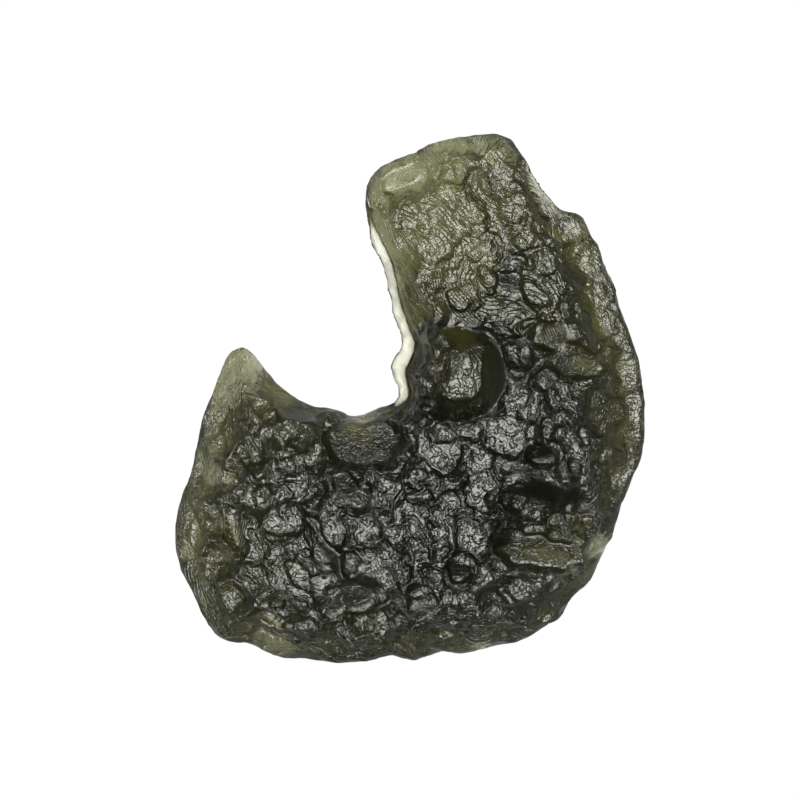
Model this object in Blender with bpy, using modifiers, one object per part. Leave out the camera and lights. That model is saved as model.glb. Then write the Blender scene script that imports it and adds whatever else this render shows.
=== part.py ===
"""A moldavite: one curved, pitted lump of bottle-green natural glass, lying on its back.

The stone lies in the XY plane as it is seen from above, with its arm towards +Y, its horn at -X
and its thickness along +Z. It is made in four steps:
1. the outline seen from above is filled and thickened to a slab;
2. the slab is given its thickness, its sloping flanks and its bowed underside;
3. etched bowls, grooves and scoops are carved into the skin, with sharp ridges where they meet;
4. the mesh is thinned where it is smooth, and the small spot it rests on is cut flat.
"""

import math
import random

import bmesh
import bpy
import numpy as np
from mathutils import Vector, kdtree, noise
from mathutils.bvhtree import BVHTree

MM = 0.001

# The outline seen from above, clockwise from the arm's upper left corner, in millimetres.
# Each stretch has its points, the width of its sloping flank and the width of its thin lip,
# through which the light shows.
ARM_END = [(-2.7, 11.6), (-2.3, 12.4), (-1.4, 13.1), (-0.4, 13.4), (0.4, 13.8), (1.3, 14.3),
           (3.0, 14.7), (5.0, 15.0), (5.7, 14.9), (6.2, 14.5), (6.6, 13.7)]
ARM_CREST = [(7.1, 12.7), (7.7, 11.7), (8.2, 10.8)]
OUTER_FLANK = [(8.8, 10.4), (9.6, 10.3), (10.0, 9.2), (10.6, 8.5), (10.9, 7.4), (11.4, 6.3),
               (12.0, 4.5), (12.5, 3.1), (13.1, 1.6), (13.0, 1.0), (13.3, -0.5), (13.2, -2.3),
               (12.8, -3.8), (12.2, -5.3)]
LOWER_FLANK = [(11.7, -6.5), (11.5, -8.1), (10.8, -9.2), (10.4, -10.3)]
LOWER_EDGE = [(9.3, -11.0), (8.7, -11.8), (8.3, -12.5), (7.2, -13.0), (6.5, -13.6), (5.0, -13.9),
              (3.2, -14.4), (2.1, -14.3), (1.1, -14.4), (0.1, -15.0), (-0.7, -14.6),
              (-1.4, -14.6), (-2.1, -14.9), (-3.7, -15.0), (-5.6, -14.9), (-7.5, -14.8),
              (-8.4, -14.3), (-9.1, -13.8), (-10.5, -13.7)]
BACK = [(-11.7, -12.5), (-12.6, -10.9), (-13.1, -9.4), (-13.3, -8.1), (-13.2, -6.5),
        (-12.8, -4.2), (-12.4, -2.4), (-11.9, -1.0)]
HORN = [(-11.2, 0.1), (-10.7, 1.4), (-10.2, 2.5), (-9.5, 2.9), (-8.9, 2.4), (-8.2, 1.4),
        (-7.5, 0.6)]
BAY = [(-6.7, 0.0), (-5.6, -0.6), (-4.4, -0.6), (-3.5, -1.1), (-2.7, -1.0), (-1.8, -0.5),
       (-0.9, -0.4)]
NUB = [(-0.8, 0.4), (-1.5, 1.7), (-1.0, 2.3), (-0.5, 3.0)]
ARM_INNER = [(-0.9, 4.2), (-1.3, 6.1), (-1.6, 7.4), (-2.5, 9.0), (-2.7, 10.4)]
OUTLINE = [  # stretch, flank width, lip width
    (ARM_END, 1.3, 0.0),
    (ARM_CREST, 1.2, 0.2),
    (OUTER_FLANK, 2.2, 0.0),
    (LOWER_FLANK, 1.3, 0.0),
    (LOWER_EDGE, 1.5, 0.0),
    (BACK, 2.2, 0.0),
    (HORN, 1.2, 0.2),
    (BAY, 0.9, 0.1),
    (NUB, 0.6, 1.1),
    (ARM_INNER, 0.5, 0.75),
]
SPLINE_STEPS = 4  # points made between two neighbours of the outline
OUTSET = 0.08 * MM  # added all round, because the later smoothing draws the rim in as much

# How high the top face lies above the table: x, y, height, in mm.
HEIGHTS = [
    (2.5, 13.5, 7.6),  # arm's end
    (2.0, 8.5, 7.1),  # middle of the arm
    (8.5, 7.0, 7.6),
    (3.5, 2.5, 8.4),  # root of the arm
    (11.0, -1.0, 8.2),
    (5.5, -3.5, 9.8),
    (0.5, -6.5, 10.2),  # over the spot it rests on
    (7.0, -9.5, 8.8),
    (-4.0, -3.0, 8.2),  # behind the bay
    (-5.5, -8.5, 9.6),
    (-3.0, -13.0, 8.2),
    (-10.0, -8.5, 8.4),
    (-9.8, -3.0, 7.2),
    (-9.5, 1.5, 5.2),  # horn
]
UNDER_BOW = 42.0 * MM  # radius of the underside, lowest at the spot that the stone rests on
HEIGHT_REACH = 2.8 * MM  # how far each of those heights is felt
RIM_SHARE = 0.42  # how far up the stone's thickness its widest line runs
RIM_WANDER = 0.9 * MM  # how far that line strays up and down
RIM_EDGE = 0.9 * MM  # thickness of the lip, or of the stone just inside that line
THINNEST_SHARE = 0.25  # of that thickness, what is left at the very rim
WIDTH_BLEND = 0.5 * MM  # how soon one stretch's flank and lip widths turn into the next one's
FLANK_SHARE = 0.84  # of the rise from the rim to the top face, how much the flank takes
FLANK_CURVE = 0.85  # 1 makes the flank straight, and less bulges it
CREST_SETTLE = 1.3  # how soon the rest of the rise levels out beyond the flank
UNDER_FLANK = 3.2 * MM  # width over which the underside curves up to the rim
LUMP_SIZE = 5.5 * MM
LUMP_HEIGHT = 0.35 * MM

# Bowls and grooves that show from a step away: x, y, half length, half width, turn in degrees
# from +X, depth, in mm, on the top face.
LANDMARKS = [
    (2.5, 1.5, 2.9, 2.75, 0, 2.3),  # the big round bowl at the root of the arm
    # the crowded bowls below and beside it
    (5.4, -2.1, 1.8, 1.7, 0, 0.6),
    (6.0, -0.6, 1.1, 1.0, 0, 0.45),
    (2.0, -2.7, 1.6, 1.7, 0, 0.6),
    (4.0, -3.4, 1.1, 1.2, 0, 0.5),
    (3.8, -1.7, 1.3, 0.7, 25, 0.45),
    (8.0, -2.0, 1.0, 1.1, 0, 0.45),
    (9.2, -3.7, 1.0, 1.1, 0, 0.45),
    (7.5, -3.2, 1.1, 0.75, 0, 1.1),  # the small black pit
    (3.9, -5.4, 1.4, 1.3, 0, 0.5),
    (3.5, -7.7, 1.3, 1.4, 0, 0.5),
    (5.4, -9.0, 1.2, 1.0, 0, 0.6),
    (6.1, -10.8, 1.1, 0.9, 0, 0.5),
    # ribs and grooves that run down to the lower edge
    (2.9, -9.5, 0.85, 0.8, 0, 0.9),
    (1.75, -7.6, 0.65, 2.1, 0, 0.5),
    (0.4, -8.1, 0.6, 2.0, 9, 0.5),
    (2.2, -11.8, 0.55, 1.4, 11, 0.4),
    (3.2, -11.9, 0.55, 1.4, 15, 0.4),
    (0.6, -11.7, 0.9, 1.1, 10, 0.8),
    (4.7, -11.6, 1.0, 1.3, 10, 0.6),
    (-0.9, -12.4, 1.0, 1.9, 15, 0.4),
    (-4.1, -13.0, 0.9, 0.9, 0, 0.5),
    # the left part
    (-4.8, -10.4, 1.3, 1.1, 45, 0.5),
    (-6.3, -10.0, 1.1, 1.3, 0, 0.5),
    (-3.4, -9.2, 0.9, 0.9, 0, 0.4),
    (-2.5, -7.3, 0.8, 1.3, 0, 0.5),
    (-4.2, -7.3, 0.8, 1.4, 10, 0.5),
    (-7.4, -6.9, 1.4, 1.4, 0, 0.6),
    (-6.1, -5.2, 1.0, 0.9, 0, 0.45),
    (-9.1, -3.1, 1.3, 1.0, 0, 0.5),
    (-5.4, -3.4, 0.8, 1.0, 0, 0.5),
    (-6.6, -2.1, 1.6, 0.8, -12, 0.6),
    (-1.6, -5.4, 1.4, 0.9, 25, 0.4),
    (-5.9, -12.9, 0.9, 0.9, 0, 0.4),
    (-8.2, -0.4, 1.4, 0.7, -52, 0.5),
    # thin places along the back, which show paler
    (-10.5, -4.4, 0.9, 0.9, 0, 1.6),
    (-10.1, -7.4, 2.0, 0.6, 108, 1.2),
    (-7.8, -12.8, 1.2, 0.6, -35, 1.3),
    # beside the right flank
    (7.7, 1.2, 1.0, 0.8, 0, 0.5),
    (6.0, 2.4, 1.0, 0.9, 0, 0.45),
    (7.2, 4.2, 1.2, 0.8, 0, 0.45),
    (6.9, 5.9, 1.6, 0.8, -35, 0.45),
    (6.2, 8.6, 1.2, 0.8, 10, 0.4),
    # the arm's end, with its chip
    (2.4, 12.7, 0.8, 1.0, 0, 0.6),
    (5.0, 12.3, 1.3, 1.6, 0, 0.5),
    (4.4, 8.5, 1.0, 0.6, 30, 0.45),
]
# Smooth facets and scoops whose bottoms lean, so that no part of them lies level: x, y, half
# length, half width, turn, depth at the middle, and how much deeper they get per mm towards +X
# and towards +Y.
FACETS = [
    (-2.6, -2.4, 2.3, 1.7, 0, 1.2, 0.0, 0.50),  # behind the bay
    # the dark wall with the level strip below it, and the olive slope below that
    (7.5, -6.4, 3.1, 1.5, -30, 1.7, 0.12, 0.0),
    (9.6, -6.4, 1.5, 1.2, -24, 1.8, 0.10, -0.20),
    (7.5, -8.1, 3.2, 1.6, -12, 2.1, 0.10, -0.42),
    # two scoops beside the right flank
    (9.3, 2.1, 1.8, 1.1, -10, 1.4, 0.15, -0.50),
    (8.0, 3.5, 1.2, 0.9, 0, 1.1, -0.20, 0.45),
    # green pits over the lower edge
    (-3.1, -11.2, 1.7, 1.0, 0, 1.1, 0.0, -0.50),
    (-2.3, -12.9, 1.5, 1.1, 0, 1.2, 0.0, -0.50),
    (-8.1, -5.4, 1.6, 0.9, 0, 0.8, 0.0, -0.45),
    (0.0, 12.3, 2.6, 1.2, 27, 0.9, -0.25, 0.45),  # the chip on the arm's end
    # the scallops along the crest of the flanks
    (8.7, 9.5, 1.1, 1.0, 0, 0.8, 0.45, 0.20),
    (9.8, 7.7, 1.3, 1.2, 0, 0.9, 0.50, 0.10),
    (10.5, 5.8, 1.2, 1.1, 0, 0.8, 0.50, 0.0),
    (11.0, 4.1, 1.2, 1.1, 0, 0.9, 0.50, 0.0),
    (11.1, 2.3, 1.1, 1.0, 0, 0.8, 0.50, 0.0),
    (10.9, -0.8, 1.4, 1.4, 0, 1.2, 0.55, 0.0),
    (11.2, -3.4, 1.2, 1.1, 0, 0.8, 0.50, -0.10),
    (-10.8, -2.4, 1.2, 1.1, 0, 0.8, -0.50, 0.0),
    (-11.3, -4.6, 1.1, 1.1, 0, 0.8, -0.50, 0.0),
    (-11.3, -6.8, 1.3, 1.2, 0, 0.9, -0.50, 0.0),
    (-11.0, -9.1, 1.3, 1.2, 0, 0.9, -0.50, -0.10),
    (-9.9, -11.2, 1.2, 1.1, 0, 0.8, -0.40, -0.30),
]
# Scoops down the sloping flanks: x, y, height, radius, depth, in mm.
FLANK_SCOOPS = [
    (8.1, 11.4, 4.6, 2.3, 0.8),
    (10.2, 7.6, 5.0, 2.0, 0.9),
    (11.4, 4.4, 5.2, 2.2, 0.9),
    (12.3, 1.6, 5.4, 1.8, 0.9),
    (11.9, -1.0, 5.6, 2.6, 1.1),
    (11.8, -4.6, 5.4, 2.0, 0.9),
    (11.0, -8.0, 5.2, 2.1, 0.8),
    (9.6, -10.4, 5.0, 1.8, 0.8),
    (7.7, -12.2, 5.2, 1.6, 0.6),
    (3.8, -13.6, 5.0, 2.0, 0.6),
    (-1.1, -14.2, 5.0, 1.7, 0.7),
    (-4.6, -14.3, 5.2, 2.1, 0.6),
    (-8.2, -13.4, 5.0, 1.8, 0.6),
    (-11.4, -11.5, 5.2, 2.3, 0.8),
    (-12.4, -7.7, 5.2, 2.1, 0.8),
    (-12.0, -4.4, 4.8, 1.9, 0.7),
    (-11.3, -1.6, 4.2, 1.6, 0.6),
    (-10.3, 1.2, 4.0, 1.2, 0.4),
]
PIT_SIZES = (0.8 * MM, 1.7 * MM)  # smallest and largest radius of the scattered pits
PIT_DEPTH_SHARE = 0.34  # a scattered pit's depth over its radius
PIT_SPACING = 0.72  # least distance between two pits' middles, in radii
PIT_TRIES = 9000
DEEPEST_SHARE = 0.32  # of the glass behind it that any hollow may take
BOWL_FLATNESS = 1.5  # 1 makes every hollow a parabola, and more gives it a flatter bottom
RIM_FADE = 0.6 * MM  # hollows fade out this near the rim and its lip, which they leave alone
SEED = 27

REST_SPOT = (1.3, -3.8, 2.7, 2.3)  # x, y and half sizes of the spot kept free of pits, in mm
REST_CUT = 0.12 * MM  # how much is taken off the underside there

SLAB_HALF = 3.0 * MM
SLAB_VOXEL = 0.40 * MM
FORM_VOXEL = 0.26 * MM
FORM_SMOOTHING = 4
FACING_UP = 0.2  # least share of +Z in the normal of a point that counts as the top face's
FACING_DOWN = -0.3
TRIANGLES = 9000
BATCH = 4000  # places measured at a time

GLASS_GREEN = (0.16, 0.19, 0.07, 1.0)


def clear_scene():
    for obj in list(bpy.data.objects):
        bpy.data.objects.remove(obj, do_unlink=True)


def spline_through(rows):
    """Points of a closed Catmull-Rom curve through rows, whose columns are all blended alike."""
    rows = np.array(rows, float)
    before, after, beyond = (np.roll(rows, shift, axis=0) for shift in (1, -1, -2))
    made = []
    for step in range(SPLINE_STEPS):
        t = step / SPLINE_STEPS
        made.append(0.5 * (2 * rows + (after - before) * t
                           + (2 * before - 5 * rows + 4 * after - beyond) * t ** 2
                           + (3 * rows - before - 3 * after + beyond) * t ** 3))
    return np.stack(made, axis=1).reshape(-1, rows.shape[1])


def outline_rows():
    """x, y, flank width and lip width all round the rim, in metres."""
    rows = [(x, y, flank, lip) for points, flank, lip in OUTLINE for x, y in points]
    rim = spline_through(rows) * MM
    onwards = np.roll(rim[:, :2], -1, axis=0) - np.roll(rim[:, :2], 1, axis=0)
    outwards = np.stack((-onwards[:, 1], onwards[:, 0]), axis=1)
    rim[:, :2] += OUTSET * outwards / np.linalg.norm(outwards, axis=1)[:, None]
    return rim


def applied(obj):
    """A new mesh of the object with its modifiers applied."""
    bpy.context.view_layer.update()
    graph = bpy.context.evaluated_depsgraph_get()
    return bpy.data.meshes.new_from_object(obj.evaluated_get(graph))


def add_remesh(obj, voxel):
    remesh = obj.modifiers.new("even_faces", "REMESH")
    remesh.mode = "VOXEL"
    remesh.voxel_size = voxel
    remesh.adaptivity = 0.0


def slab_from_outline(collection, rim):
    """The outline, filled and thickened, with faces of even size."""
    curve = bpy.data.curves.new("outline", "CURVE")
    curve.dimensions = "2D"
    curve.fill_mode = "BOTH"
    curve.extrude = SLAB_HALF
    spline = curve.splines.new("POLY")
    spline.points.add(len(rim) - 1)
    for point, (x, y) in zip(spline.points, rim[:, :2]):
        point.co = (x, y, 0.0, 1.0)
    spline.use_cyclic_u = True
    guide = bpy.data.objects.new("outline", curve)
    collection.objects.link(guide)
    add_remesh(guide, SLAB_VOXEL)
    stone = bpy.data.objects.new("moldavite", applied(guide))
    collection.objects.link(stone)
    bpy.data.objects.remove(guide)
    return stone


def points_of(mesh):
    points = np.empty(len(mesh.vertices) * 3)
    mesh.vertices.foreach_get("co", points)
    return points.reshape(-1, 3)


def set_points(mesh, points):
    mesh.vertices.foreach_set("co", points.astype(np.float32).ravel())
    mesh.update()


def from_rim(places, rim):
    """For each place: its distance from the rim, and the flank and lip widths of the rim near it."""
    start, end = rim[:, :2], np.roll(rim[:, :2], -1, axis=0)
    along = end - start
    distance = np.empty(len(places))
    widths = np.empty((len(places), 2))
    for first in range(0, len(places), BATCH):
        some = places[first:first + BATCH, None, :]
        share = ((some - start) * along).sum(2) / (along ** 2).sum(1)
        foot = start + np.clip(share, 0, 1)[..., None] * along
        gaps = np.linalg.norm(some - foot, axis=2)
        nearest = gaps.min(axis=1)
        nearness = np.exp(-(gaps - nearest[:, None]) / WIDTH_BLEND)
        distance[first:first + BATCH] = nearest
        widths[first:first + BATCH] = nearness @ rim[:, 2:] / nearness.sum(1)[:, None]
    return distance, widths[:, 0], widths[:, 1]


def top_height(places):
    """The height of the top face at each place, blended from HEIGHTS."""
    known = np.array(HEIGHTS) * MM
    gaps = np.linalg.norm(places[:, None, :] - known[:, :2], axis=2)
    nearness = np.exp(-0.5 * (gaps / HEIGHT_REACH) ** 2) + 1e-9
    return nearness @ known[:, 2] / nearness.sum(1)


def underside_height(places):
    """The bowed underside, which is lowest at the spot that the stone rests on."""
    return ((places - np.array(REST_SPOT[:2]) * MM) ** 2).sum(1) / (2 * UNDER_BOW)


def flank_profile(t):
    """The rise from the rim, 0, to the top face, 1, with the crest of the flank at t = 1."""
    flank = FLANK_SHARE * np.clip(t, 0, 1) ** FLANK_CURVE
    beyond = (1 - FLANK_SHARE) * (1 - np.exp(-CREST_SETTLE * np.clip(t - 1, 0, None)))
    return flank + beyond


def give_thickness(mesh, rim):
    """Turns the slab into the stone's main form: flanks, top face and bowed underside."""
    points = points_of(mesh)
    share_up = (points[:, 2] / SLAB_HALF + 1) / 2
    distance, flank, lip = from_rim(points[:, :2], rim)
    top, under = top_height(points[:, :2]), underside_height(points[:, :2])
    wander = np.array([noise.noise(Vector((x, y, 0)) / LUMP_SIZE) for x, y, _ in points])
    rim_height = under + RIM_SHARE * (top - under) + RIM_WANDER * wander
    edge = RIM_EDGE * np.clip(distance / RIM_EDGE, THINNEST_SHARE, 1)
    rise = flank_profile(np.clip(distance - lip, 0, None) / flank)
    lowest = np.clip((distance - lip) / UNDER_FLANK, 0, 1)
    drop = np.sqrt(1 - (1 - lowest) ** 2)
    upper = rim_height + edge / 2 + rise * (top - rim_height - edge / 2)
    lower = rim_height - edge / 2 - drop * (rim_height - edge / 2 - under)
    points[:, 2] = lower + np.clip(share_up, 0, 1) * (upper - lower)
    set_points(mesh, points)


def evened(stone, voxel, smoothing):
    """Gives the stone's mesh faces of one size again, and rounds its creases a little."""
    add_remesh(stone, voxel)
    smooth = stone.modifiers.new("round_creases", "SMOOTH")
    smooth.factor = 0.5
    smooth.iterations = smoothing
    old = stone.data
    stone.data = applied(stone)
    stone.modifiers.clear()
    bpy.data.meshes.remove(old)


def normals_of(mesh):
    normals = np.empty(len(mesh.vertices) * 3)
    mesh.vertices.foreach_get("normal", normals)
    return normals.reshape(-1, 3)


def thickness_behind(mesh, points, normals):
    """How much glass lies straight behind each point of the skin."""
    skin = BVHTree.FromPolygons(points.tolist(), [face.vertices[:] for face in mesh.polygons])
    just_inside = 0.02 * MM
    behind = []
    for point, out in zip(points, normals):
        inwards = Vector(-out)
        hit = skin.ray_cast(Vector(point) + inwards * just_inside, inwards)
        behind.append(hit[3] if hit[3] is not None else 0.0)
    return np.array(behind)


def add_lumps(mesh):
    """Slow swells that keep any face from lying dead flat."""
    points, normals = points_of(mesh), normals_of(mesh)
    swell = np.array([noise.noise(Vector(point) / LUMP_SIZE) for point in points])
    away_from_rest = np.clip(underside_height(points[:, :2]) / LUMP_HEIGHT, 0, 1)
    set_points(mesh, points + normals * (LUMP_HEIGHT * swell * away_from_rest)[:, None])


class Carver:
    """Cuts etched hollows into a mesh. Where two hollows meet, the deeper one wins, which leaves
    a sharp ridge between them, as on the real glass."""

    def __init__(self, mesh):
        self.mesh = mesh
        self.points = points_of(mesh)
        self.normals = normals_of(mesh)
        self.depth = np.zeros(len(self.points))
        self.tree = kdtree.KDTree(len(self.points))
        for index, point in enumerate(self.points):
            self.tree.insert(point, index)
        self.tree.balance()

    def skin_above(self, x, y):
        """The index of the top face's point over x, y."""
        gaps = np.hypot(self.points[:, 0] - x, self.points[:, 1] - y)
        gaps[self.normals[:, 2] < FACING_UP] = math.inf
        return int(gaps.argmin())

    def hollow(self, index, half_length, half_width, turn, depth, lean=(0.0, 0.0, 0.0)):
        """Records a bowl about one point of the skin, with its length turned from +X. Its bottom
        gets deeper along lean."""
        middle, out = self.points[index], self.normals[index]
        along = np.array((math.cos(turn), math.sin(turn), 0.0))
        along -= out * (along @ out)
        along /= max(np.linalg.norm(along), 1e-6)
        across = np.cross(out, along)
        reach = max(half_length, half_width)
        near = [found[1] for found in self.tree.find_range(middle, reach)]
        away = self.points[near] - middle
        share = ((away @ along / half_length) ** 2 + (away @ across / half_width) ** 2
                 + (away @ out / reach) ** 2)
        cut = (depth + away @ np.array(lean)) * np.clip(1 - share ** BOWL_FLATNESS, 0, None)
        self.depth[near] = np.maximum(self.depth[near], cut)

    def spare_rest_spot(self, x, y, half_x, half_y):
        """Fades every hollow out over the spot that the stone rests on."""
        share = ((self.points[:, 0] - x) / half_x) ** 2 + ((self.points[:, 1] - y) / half_y) ** 2
        kept = np.clip(2 * (share - 1), 0, 1)
        kept[self.normals[:, 2] > FACING_DOWN] = 1
        self.depth *= kept

    def spare_rim(self, rim):
        distance, _, lip = from_rim(self.points[:, :2], rim)
        self.depth *= np.clip((distance - lip) / RIM_FADE, 0, 1)

    def cut(self):
        most = DEEPEST_SHARE * thickness_behind(self.mesh, self.points, self.normals)
        depth = np.minimum(self.depth, most)
        set_points(self.mesh, self.points - self.normals * depth[:, None])


def carve_landmarks(carver):
    """Carves the named hollows, and gives the place and reach of each."""
    taken = []
    for x, y, half_length, half_width, turn, depth in LANDMARKS:
        index = carver.skin_above(x * MM, y * MM)
        carver.hollow(index, half_length * MM, half_width * MM, math.radians(turn), depth * MM)
        taken.append((carver.points[index], math.sqrt(half_length * half_width) * MM))
    for x, y, half_length, half_width, turn, depth, to_x, to_y in FACETS:
        index = carver.skin_above(x * MM, y * MM)
        carver.hollow(index, half_length * MM, half_width * MM, math.radians(turn), depth * MM,
                      (to_x, to_y, 0.0))
        taken.append((carver.points[index], math.sqrt(half_length * half_width) * MM))
    for x, y, height, radius, depth in FLANK_SCOOPS:
        index = carver.tree.find(Vector((x, y, height)) * MM)[1]
        carver.hollow(index, radius * MM, radius * MM, 0.0, depth * MM)
    return taken


def scatter_pits(carver, taken, chance):
    """Covers the rest of the skin with pits of mixed sizes, none too near another one's middle."""
    order = list(range(len(carver.points)))
    chance.shuffle(order)
    for index in order[:PIT_TRIES]:
        radius = chance.uniform(*PIT_SIZES)
        stretch = chance.uniform(0.75, 1.0)
        turn = chance.uniform(0, math.pi)
        place = carver.points[index]
        if any(np.linalg.norm(place - other) < PIT_SPACING * (radius + reach)
               for other, reach in taken):
            continue
        taken.append((place, radius))
        carver.hollow(index, radius, radius * stretch, turn, radius * PIT_DEPTH_SHARE)


def carve(mesh, rim):
    carver = Carver(mesh)
    taken = carve_landmarks(carver)
    scatter_pits(carver, taken, random.Random(SEED))
    carver.spare_rest_spot(*(value * MM for value in REST_SPOT))
    carver.spare_rim(rim)
    carver.cut()


def thin_out(stone):
    """Fewer faces where the skin is smooth, and as many as before along the ridges."""
    stone.data.calc_loop_triangles()
    thinned = stone.modifiers.new("thinned", "DECIMATE")
    thinned.decimate_type = "COLLAPSE"
    thinned.ratio = TRIANGLES / len(stone.data.loop_triangles)
    thinned.use_collapse_triangulate = True
    old = stone.data
    stone.data = applied(stone)
    stone.modifiers.clear()
    bpy.data.meshes.remove(old)


def cut_rest_spot(mesh):
    """Cuts the underside flat, and sets the stone on z = 0 with its middle over the origin."""
    form = bmesh.new()
    form.from_mesh(mesh)
    lowest = min(vert.co.z for vert in form.verts) + REST_CUT
    everything = form.verts[:] + form.edges[:] + form.faces[:]
    cut = bmesh.ops.bisect_plane(form, geom=everything, plane_co=(0, 0, lowest),
                                 plane_no=(0, 0, 1), clear_inner=True, dist=1e-7)
    rims = [item for item in cut["geom_cut"] if isinstance(item, bmesh.types.BMEdge)]
    bmesh.ops.triangle_fill(form, edges=rims, use_beauty=True, normal=(0, 0, -1))
    bmesh.ops.triangulate(form, faces=[face for face in form.faces if len(face.verts) > 3])
    bmesh.ops.recalc_face_normals(form, faces=form.faces)
    places = np.array([vert.co for vert in form.verts])
    middle = (places.min(axis=0) + places.max(axis=0)) / 2
    shift = Vector((-middle[0], -middle[1], -lowest))
    bmesh.ops.translate(form, verts=form.verts, vec=shift)
    form.to_mesh(mesh)
    form.free()


def glass():
    """Dark bottle-green glass with an etched, half-glossy skin."""
    material = bpy.data.materials.new("moldavite_glass")
    material.use_nodes = True
    shader = material.node_tree.nodes["Principled BSDF"]
    shader.inputs["Base Color"].default_value = GLASS_GREEN
    shader.inputs["Roughness"].default_value = 0.25
    shader.inputs["Metallic"].default_value = 0.0
    shader.inputs["IOR"].default_value = 1.49
    return material


def make_moldavite():
    clear_scene()
    collection = bpy.data.collections.new("moldavite")
    bpy.context.scene.collection.children.link(collection)
    rim = outline_rows()
    stone = slab_from_outline(collection, rim)
    give_thickness(stone.data, rim)
    evened(stone, FORM_VOXEL, FORM_SMOOTHING)
    add_lumps(stone.data)
    carve(stone.data, rim)
    thin_out(stone)
    cut_rest_spot(stone.data)
    stone.data.shade_smooth()
    stone.data.set_sharp_from_angle(angle=math.radians(50))
    stone.data.materials.append(glass())


make_moldavite()
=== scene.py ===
# %% [markdown]
# # A moldavite
#
# A moldavite is a lump of natural glass: rock melted by a meteorite's impact, thrown through
# the air, and then etched in the ground for fifteen million years. This one is a curved piece
# about 30 mm long, with a blunt arm, a pointed horn and a bay between them.
#
# Two things make its look. The glass is bottle green and see-through, so its colour deepens
# with its thickness. And its skin is etched at several sizes at once: wide bowls, small
# hollows, and the fine lines of the glass's own layers. The solid carries the wide bowls. We
# carve the hollows into a finer copy of it, and leave the finest lines to the material's bump.

import math
import random

import bmesh
import bpy
import numpy as np
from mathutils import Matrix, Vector, kdtree, noise
from mathutils.bvhtree import BVHTree


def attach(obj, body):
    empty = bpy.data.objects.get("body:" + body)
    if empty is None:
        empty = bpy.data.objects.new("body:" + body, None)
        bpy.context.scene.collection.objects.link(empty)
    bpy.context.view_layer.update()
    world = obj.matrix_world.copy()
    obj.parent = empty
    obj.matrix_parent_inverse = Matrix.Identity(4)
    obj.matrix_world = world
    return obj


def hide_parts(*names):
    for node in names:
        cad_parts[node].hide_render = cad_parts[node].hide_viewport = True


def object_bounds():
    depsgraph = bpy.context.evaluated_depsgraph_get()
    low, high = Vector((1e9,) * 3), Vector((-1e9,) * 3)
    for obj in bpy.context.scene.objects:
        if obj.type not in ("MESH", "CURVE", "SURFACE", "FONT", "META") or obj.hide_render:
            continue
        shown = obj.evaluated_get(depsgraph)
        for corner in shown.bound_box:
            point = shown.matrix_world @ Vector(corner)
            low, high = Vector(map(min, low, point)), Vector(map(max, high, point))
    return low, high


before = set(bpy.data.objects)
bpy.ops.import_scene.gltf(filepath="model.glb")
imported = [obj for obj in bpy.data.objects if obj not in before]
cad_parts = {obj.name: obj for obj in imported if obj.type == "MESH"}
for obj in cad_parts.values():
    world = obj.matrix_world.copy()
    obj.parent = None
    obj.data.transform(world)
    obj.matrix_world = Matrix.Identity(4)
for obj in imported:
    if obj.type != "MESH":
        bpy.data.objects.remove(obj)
MM = 0.001
cad_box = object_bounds()
scene = bpy.context.scene
print("the solid measures", [round(side / MM, 1) for side in cad_box[1] - cad_box[0]], "mm")

# %% [markdown]
# ## The camera
#
# The stone was photographed from straight above. A long lens a good way off keeps the
# perspective flat, as in a product photograph. The picture is 800 pixels wide, and the stone's
# 30 mm fill 531 of them, which fixes how much the frame takes in; the stone's middle lies a
# little off the picture's middle, so the camera is moved by that much.

# %% Place the camera
PICTURE_SIDE_PX = 800
STONE_LENGTH_PX = 531
STONE_LENGTH = 30.0 * MM
STONE_MIDDLE_PX = (410.0, 398.5)
PIXEL = STONE_LENGTH / STONE_LENGTH_PX
CAMERA_DISTANCE = 0.45
RIM_HEIGHT = 4.5 * MM  # the outline that the camera sees lies about this high


def from_pixel(x, y):
    """The place on the stone, in metres, that a pixel of the photograph shows."""
    return (x - STONE_MIDDLE_PX[0]) * PIXEL, (STONE_MIDDLE_PX[1] - y) * PIXEL


lens = bpy.data.cameras.new("camera")
lens.lens = lens.sensor_width * CAMERA_DISTANCE / (PICTURE_SIDE_PX * PIXEL)
lens.clip_start = 0.01
camera = bpy.data.objects.new("camera", lens)
scene.collection.objects.link(camera)
picture_middle = from_pixel(PICTURE_SIDE_PX / 2, PICTURE_SIDE_PX / 2)
camera.location = (*picture_middle, RIM_HEIGHT + CAMERA_DISTANCE)
scene.camera = camera
print("lens", round(lens.lens), "mm")

# %% [markdown]
# ## The table
#
# Glass shows what is around it, so the table, the room and the light matter as much as the
# stone. The photograph has a white ground with no shadow. So the table glows of itself, as a
# light table does, and needs no light to be white. What the stone's skin mirrors of it is
# duller than what shines through from right below, and a Light Path node tells the two apart.

# %% A glowing table
TABLE_RADIUS = 0.5
TABLE_GLOW = 1.02
TABLE_MIRRORED = 0.62

form = bmesh.new()
bmesh.ops.create_circle(form, cap_ends=True, segments=96, radius=TABLE_RADIUS)
table_mesh = bpy.data.meshes.new("table")
form.to_mesh(table_mesh)
form.free()
table = bpy.data.objects.new("table", table_mesh)
scene.collection.objects.link(table)

paper = bpy.data.materials.new("glowing_white")
paper.use_nodes = True
nodes, links = paper.node_tree.nodes, paper.node_tree.links
glow = nodes.new("ShaderNodeEmission")
mirrored = nodes.new("ShaderNodeLightPath")
brightness = nodes.new("ShaderNodeMapRange")
brightness.inputs["To Min"].default_value = TABLE_GLOW
brightness.inputs["To Max"].default_value = TABLE_MIRRORED
links.new(mirrored.outputs["Is Glossy Ray"], brightness.inputs["Value"])
links.new(brightness.outputs[0], glow.inputs["Strength"])
links.new(glow.outputs[0], nodes["Material Output"].inputs["Surface"])
table_mesh.materials.append(paper)
print("table", 2 * TABLE_RADIUS, "m across")

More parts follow.
